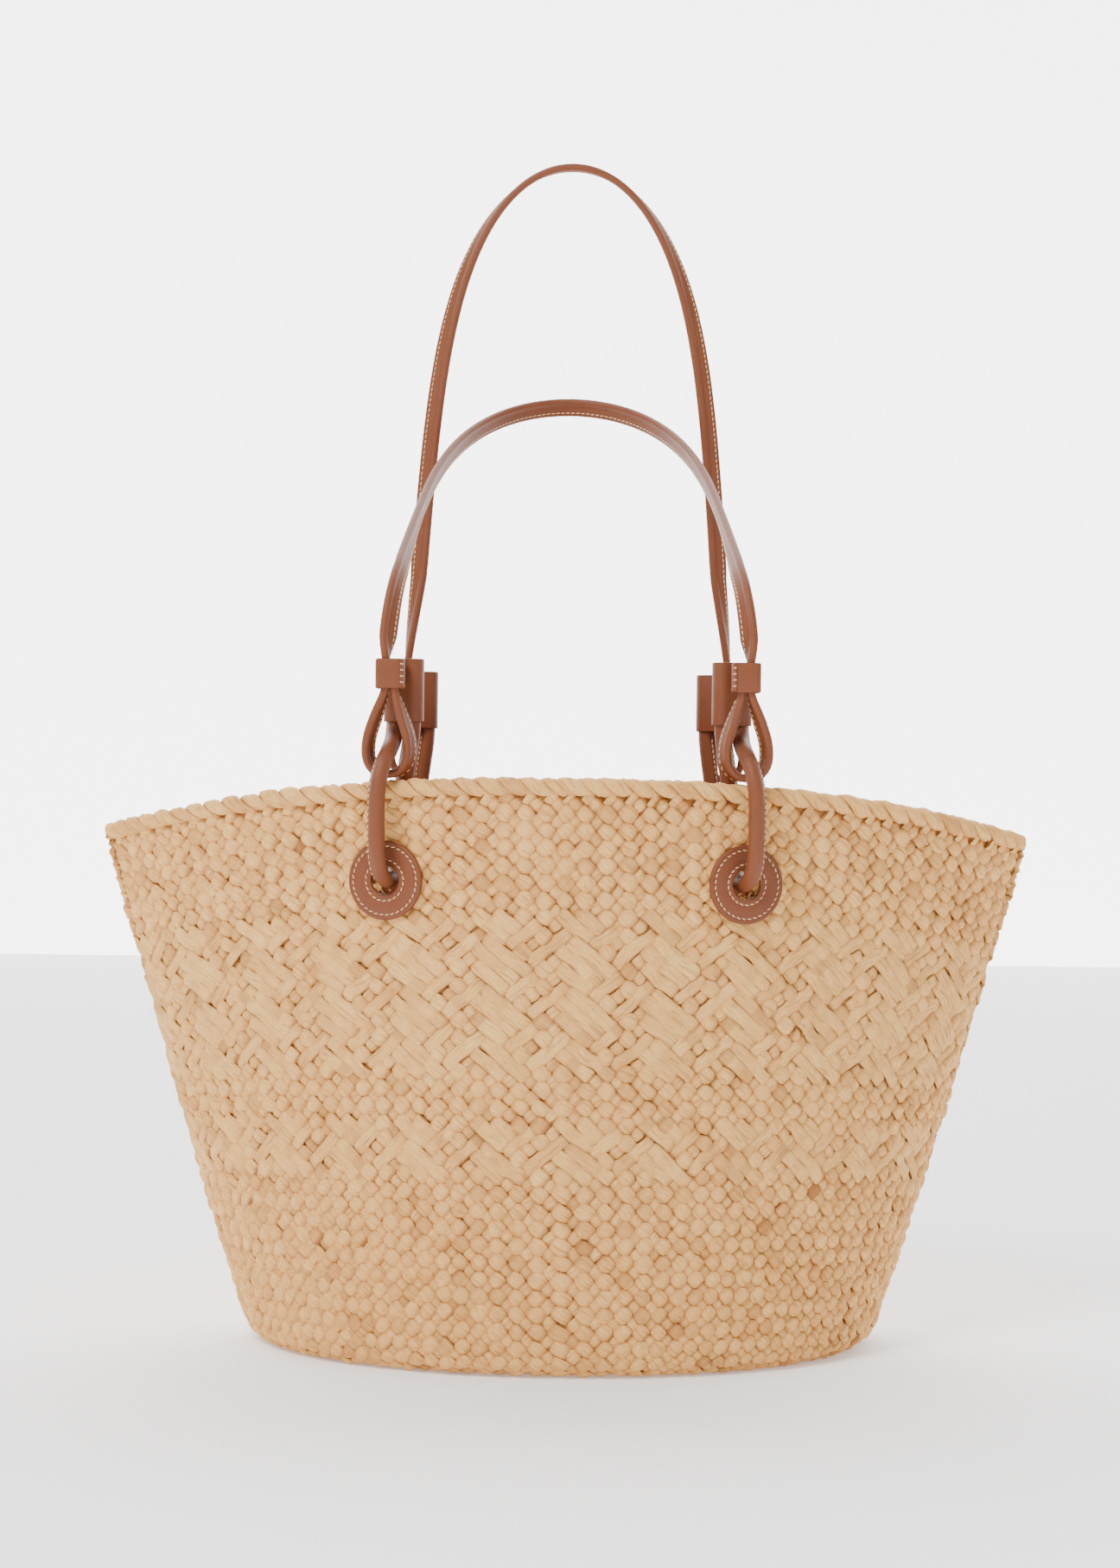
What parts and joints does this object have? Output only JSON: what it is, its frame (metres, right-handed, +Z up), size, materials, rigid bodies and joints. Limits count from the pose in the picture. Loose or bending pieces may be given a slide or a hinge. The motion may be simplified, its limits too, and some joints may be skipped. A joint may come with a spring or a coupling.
{
  "type": "beach bag",
  "caption": "Open basket bag of plaited raffia with a pointed oval mouth and two leather shoulder straps on looped leather fixings.",
  "frame": {"origin": "centre of the foot, on the ground under the middle of the basket", "axes": "+X along the mouth to the right as seen from the front, -Y out of the front, +Z up"},
  "size_m": [0.5, 0.2556, 0.651],
  "materials": {
    "raffia": "dry plaited raffia, light straw colour",
    "leather": "smooth satin leather, cognac brown",
    "thread": "pale waxed sewing thread",
    "cord_core": "undyed cotton cord"
  },
  "bodies": {
    "basket": {"woven_wall": "raffia", "woven_base": "raffia", "rim_braid": "raffia", "patch_thread": "thread", "patch_front_left": "leather", "patch_front_right": "leather", "patch_back_left": "leather", "patch_back_right": "leather", "backing_front_left": "leather", "backing_front_right": "leather", "backing_back_left": "leather", "backing_back_right": "leather"},
    "link_front_left_body": {"link_front_left": "leather", "link_core_front_left": "cord_core", "sleeve_front_left": "leather"},
    "loop_front_left_body": {"loop_front_left": "leather", "keeper_front_left": "leather"},
    "link_front_right_body": {"link_front_right": "leather", "link_core_front_right": "cord_core", "sleeve_front_right": "leather"},
    "loop_front_right_body": {"loop_front_right": "leather", "keeper_front_right": "leather"},
    "strap_front_body": {"strap_front": "leather", "strap_core_front": "cord_core"},
    "link_back_left_body": {"link_back_left": "leather", "link_core_back_left": "cord_core", "sleeve_back_left": "leather"},
    "loop_back_left_body": {"loop_back_left": "leather", "keeper_back_left": "leather"},
    "link_back_right_body": {"link_back_right": "leather", "link_core_back_right": "cord_core", "sleeve_back_right": "leather"},
    "loop_back_right_body": {"loop_back_right": "leather", "keeper_back_right": "leather"},
    "strap_back_body": {"strap_back": "leather", "strap_core_back": "cord_core"}
  },
  "joints": [
    {"name": "link_front_left_tilt", "type": "hinge", "parent": "basket", "child": "link_front_left_body", "pos_m": [-0.0895, -0.09574, 0.24759], "axis": [1, 0, 0], "range_deg": [-3, 4]},
    {"name": "loop_front_left_swing", "type": "hinge", "parent": "link_front_left_body", "child": "loop_front_left_body", "pos_m": [-0.0895, -0.09574, 0.30099], "axis": [1, 0, 0], "range_deg": [0, 20]},
    {"name": "link_front_right_tilt", "type": "hinge", "parent": "basket", "child": "link_front_right_body", "pos_m": [0.0895, -0.09574, 0.24759], "axis": [1, 0, 0], "range_deg": [-3, 4]},
    {"name": "loop_front_right_swing", "type": "hinge", "parent": "link_front_right_body", "child": "loop_front_right_body", "pos_m": [0.0895, -0.09574, 0.30099], "axis": [1, 0, 0], "range_deg": [0, 20]},
    {"name": "strap_front_swing", "type": "hinge", "parent": "loop_front_left_body", "child": "strap_front_body", "pos_m": [-0.0895, -0.09574, 0.39289], "axis": [1, 0, 0], "range_deg": [-10, 200]},
    {"name": "link_back_left_tilt", "type": "hinge", "parent": "basket", "child": "link_back_left_body", "pos_m": [-0.0895, 0.09574, 0.24759], "axis": [1, 0, 0], "range_deg": [-4, 3]},
    {"name": "loop_back_left_swing", "type": "hinge", "parent": "link_back_left_body", "child": "loop_back_left_body", "pos_m": [-0.0895, 0.09574, 0.30099], "axis": [1, 0, 0], "range_deg": [-20, 0]},
    {"name": "link_back_right_tilt", "type": "hinge", "parent": "basket", "child": "link_back_right_body", "pos_m": [0.0895, 0.09574, 0.24759], "axis": [1, 0, 0], "range_deg": [-4, 3]},
    {"name": "loop_back_right_swing", "type": "hinge", "parent": "link_back_right_body", "child": "loop_back_right_body", "pos_m": [0.0895, 0.09574, 0.30099], "axis": [1, 0, 0], "range_deg": [-20, 0]},
    {"name": "strap_back_swing", "type": "hinge", "parent": "loop_back_left_body", "child": "strap_back_body", "pos_m": [-0.0895, 0.09574, 0.39289], "axis": [1, 0, 0], "range_deg": [-145, 10]}
  ],
  "couplings": [
    {"joint": "link_front_right_tilt", "follows": "link_front_left_tilt", "ratio": 1},
    {"joint": "loop_front_right_swing", "follows": "loop_front_left_swing", "ratio": 1},
    {"joint": "link_back_right_tilt", "follows": "link_back_left_tilt", "ratio": 1},
    {"joint": "loop_back_right_swing", "follows": "loop_back_left_swing", "ratio": 1}
  ]
}
